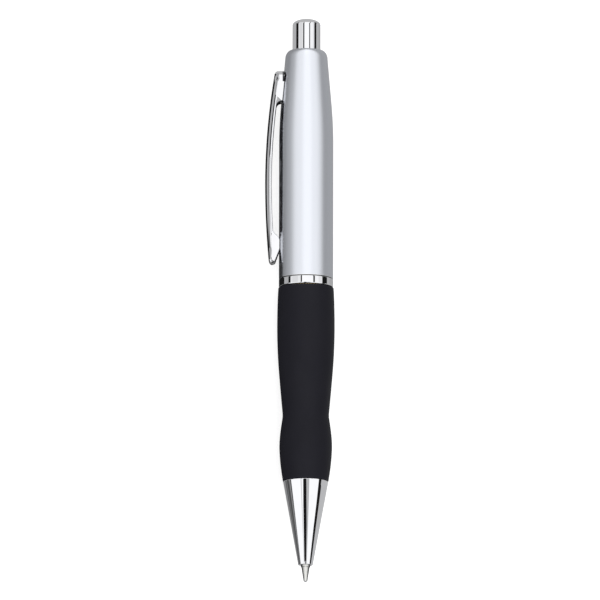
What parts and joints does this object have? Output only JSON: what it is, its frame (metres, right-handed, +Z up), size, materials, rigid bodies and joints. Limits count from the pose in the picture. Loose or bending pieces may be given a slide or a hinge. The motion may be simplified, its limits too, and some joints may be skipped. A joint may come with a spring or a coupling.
{
  "type": "retractable ballpoint pen",
  "caption": "Retractable ballpoint pen with a silver barrel, push button, pocket clip, black rubber grip and chrome nose cone, its point extended.",
  "frame": {"origin": "on the table under the middle of the pen's box, where the pen lies at rest on the belly of its grip and an edge of its clip", "axes": "+X along the pen towards the writing point, -Y towards the clip's side, +Z up from the table"},
  "size_m": [0.14, 0.0164, 0.0143],
  "materials": {
    "satin_silver": "metallic silver lacquer, satin, with a soft wide highlight",
    "clip_chrome": "bright chrome plate, mirror polished",
    "button_chrome": "bright chrome plate on moulded plastic, mirror polished",
    "ring_chrome": "bright chrome plate, mirror polished",
    "nose_chrome": "bright chrome plate, mirror polished",
    "grip_rubber": "smooth black moulded rubber, matt with a faint sheen",
    "o_ring_rubber": "black nitrile rubber",
    "nickel_silver": "turned nickel silver, fine turning marks",
    "ball_metal": "polished hard metal",
    "black_plastic": "moulded black plastic",
    "coupler_brass": "turned brass",
    "white_acetal": "moulded natural acetal",
    "grey_acetal": "moulded grey acetal",
    "spring_steel": "drawn spring wire",
    "refill_steel": "drawn steel tube",
    "plug_plastic": "moulded black plastic",
    "neck_brass": "turned brass",
    "blue_ink": "thick blue ballpoint ink",
    "follower_grease": "clear yellowish grease"
  },
  "bodies": {
    "barrel": {"upper_barrel": "satin_silver", "guide_sleeve": "white_acetal", "centre_ring": "ring_chrome", "threaded_coupler": "coupler_brass", "coupler_o_ring": "o_ring_rubber", "lower_barrel": "black_plastic", "rubber_grip": "grip_rubber", "nose_cone": "nose_chrome", "return_spring": "spring_steel"},
    "clip": {"clip": "clip_chrome"},
    "button": {"button_cap": "button_chrome", "plunger": "white_acetal"},
    "rotor": {"rotor": "grey_acetal"},
    "refill": {"refill_tube": "refill_steel", "refill_end_plug": "plug_plastic", "refill_neck": "neck_brass", "refill_ink": "blue_ink", "refill_follower": "follower_grease", "refill_tip": "nickel_silver"},
    "ball": {"writing_ball": "ball_metal"}
  },
  "joints": [
    {"name": "button_press", "type": "slide", "parent": "barrel", "child": "button", "axis": [1, 0, 0], "range_m": [-0.005, 0.0012], "stiffness_N_per_m": 200},
    {"name": "refill_travel", "type": "slide", "parent": "barrel", "child": "refill", "axis": [1, 0, 0], "range_m": [-0.005, 0.0012], "deforming": ["return_spring"]},
    {"name": "rotor_turn", "type": "hinge", "parent": "button", "child": "rotor", "pos_m": [-0.0355, 0.00104, 0.00713], "axis": [1, 0, 0], "continuous": true},
    {"name": "ball_roll", "type": "hinge", "parent": "refill", "child": "ball", "pos_m": [0.0696, 0.00104, 0.00713], "axis": [0, 1, 0], "continuous": true},
    {"name": "clip_flex", "type": "hinge", "parent": "barrel", "child": "clip", "pos_m": [-0.0552, -0.00383, 0.00379], "axis": [0, 0.5662, -0.8243], "range_deg": [0, 4], "stiffness_Nm_per_rad": 2, "springref_deg": -2.86}
  ],
  "couplings": [
    {"joint": "refill_travel", "follows": "button_press", "ratio": 1}
  ]
}
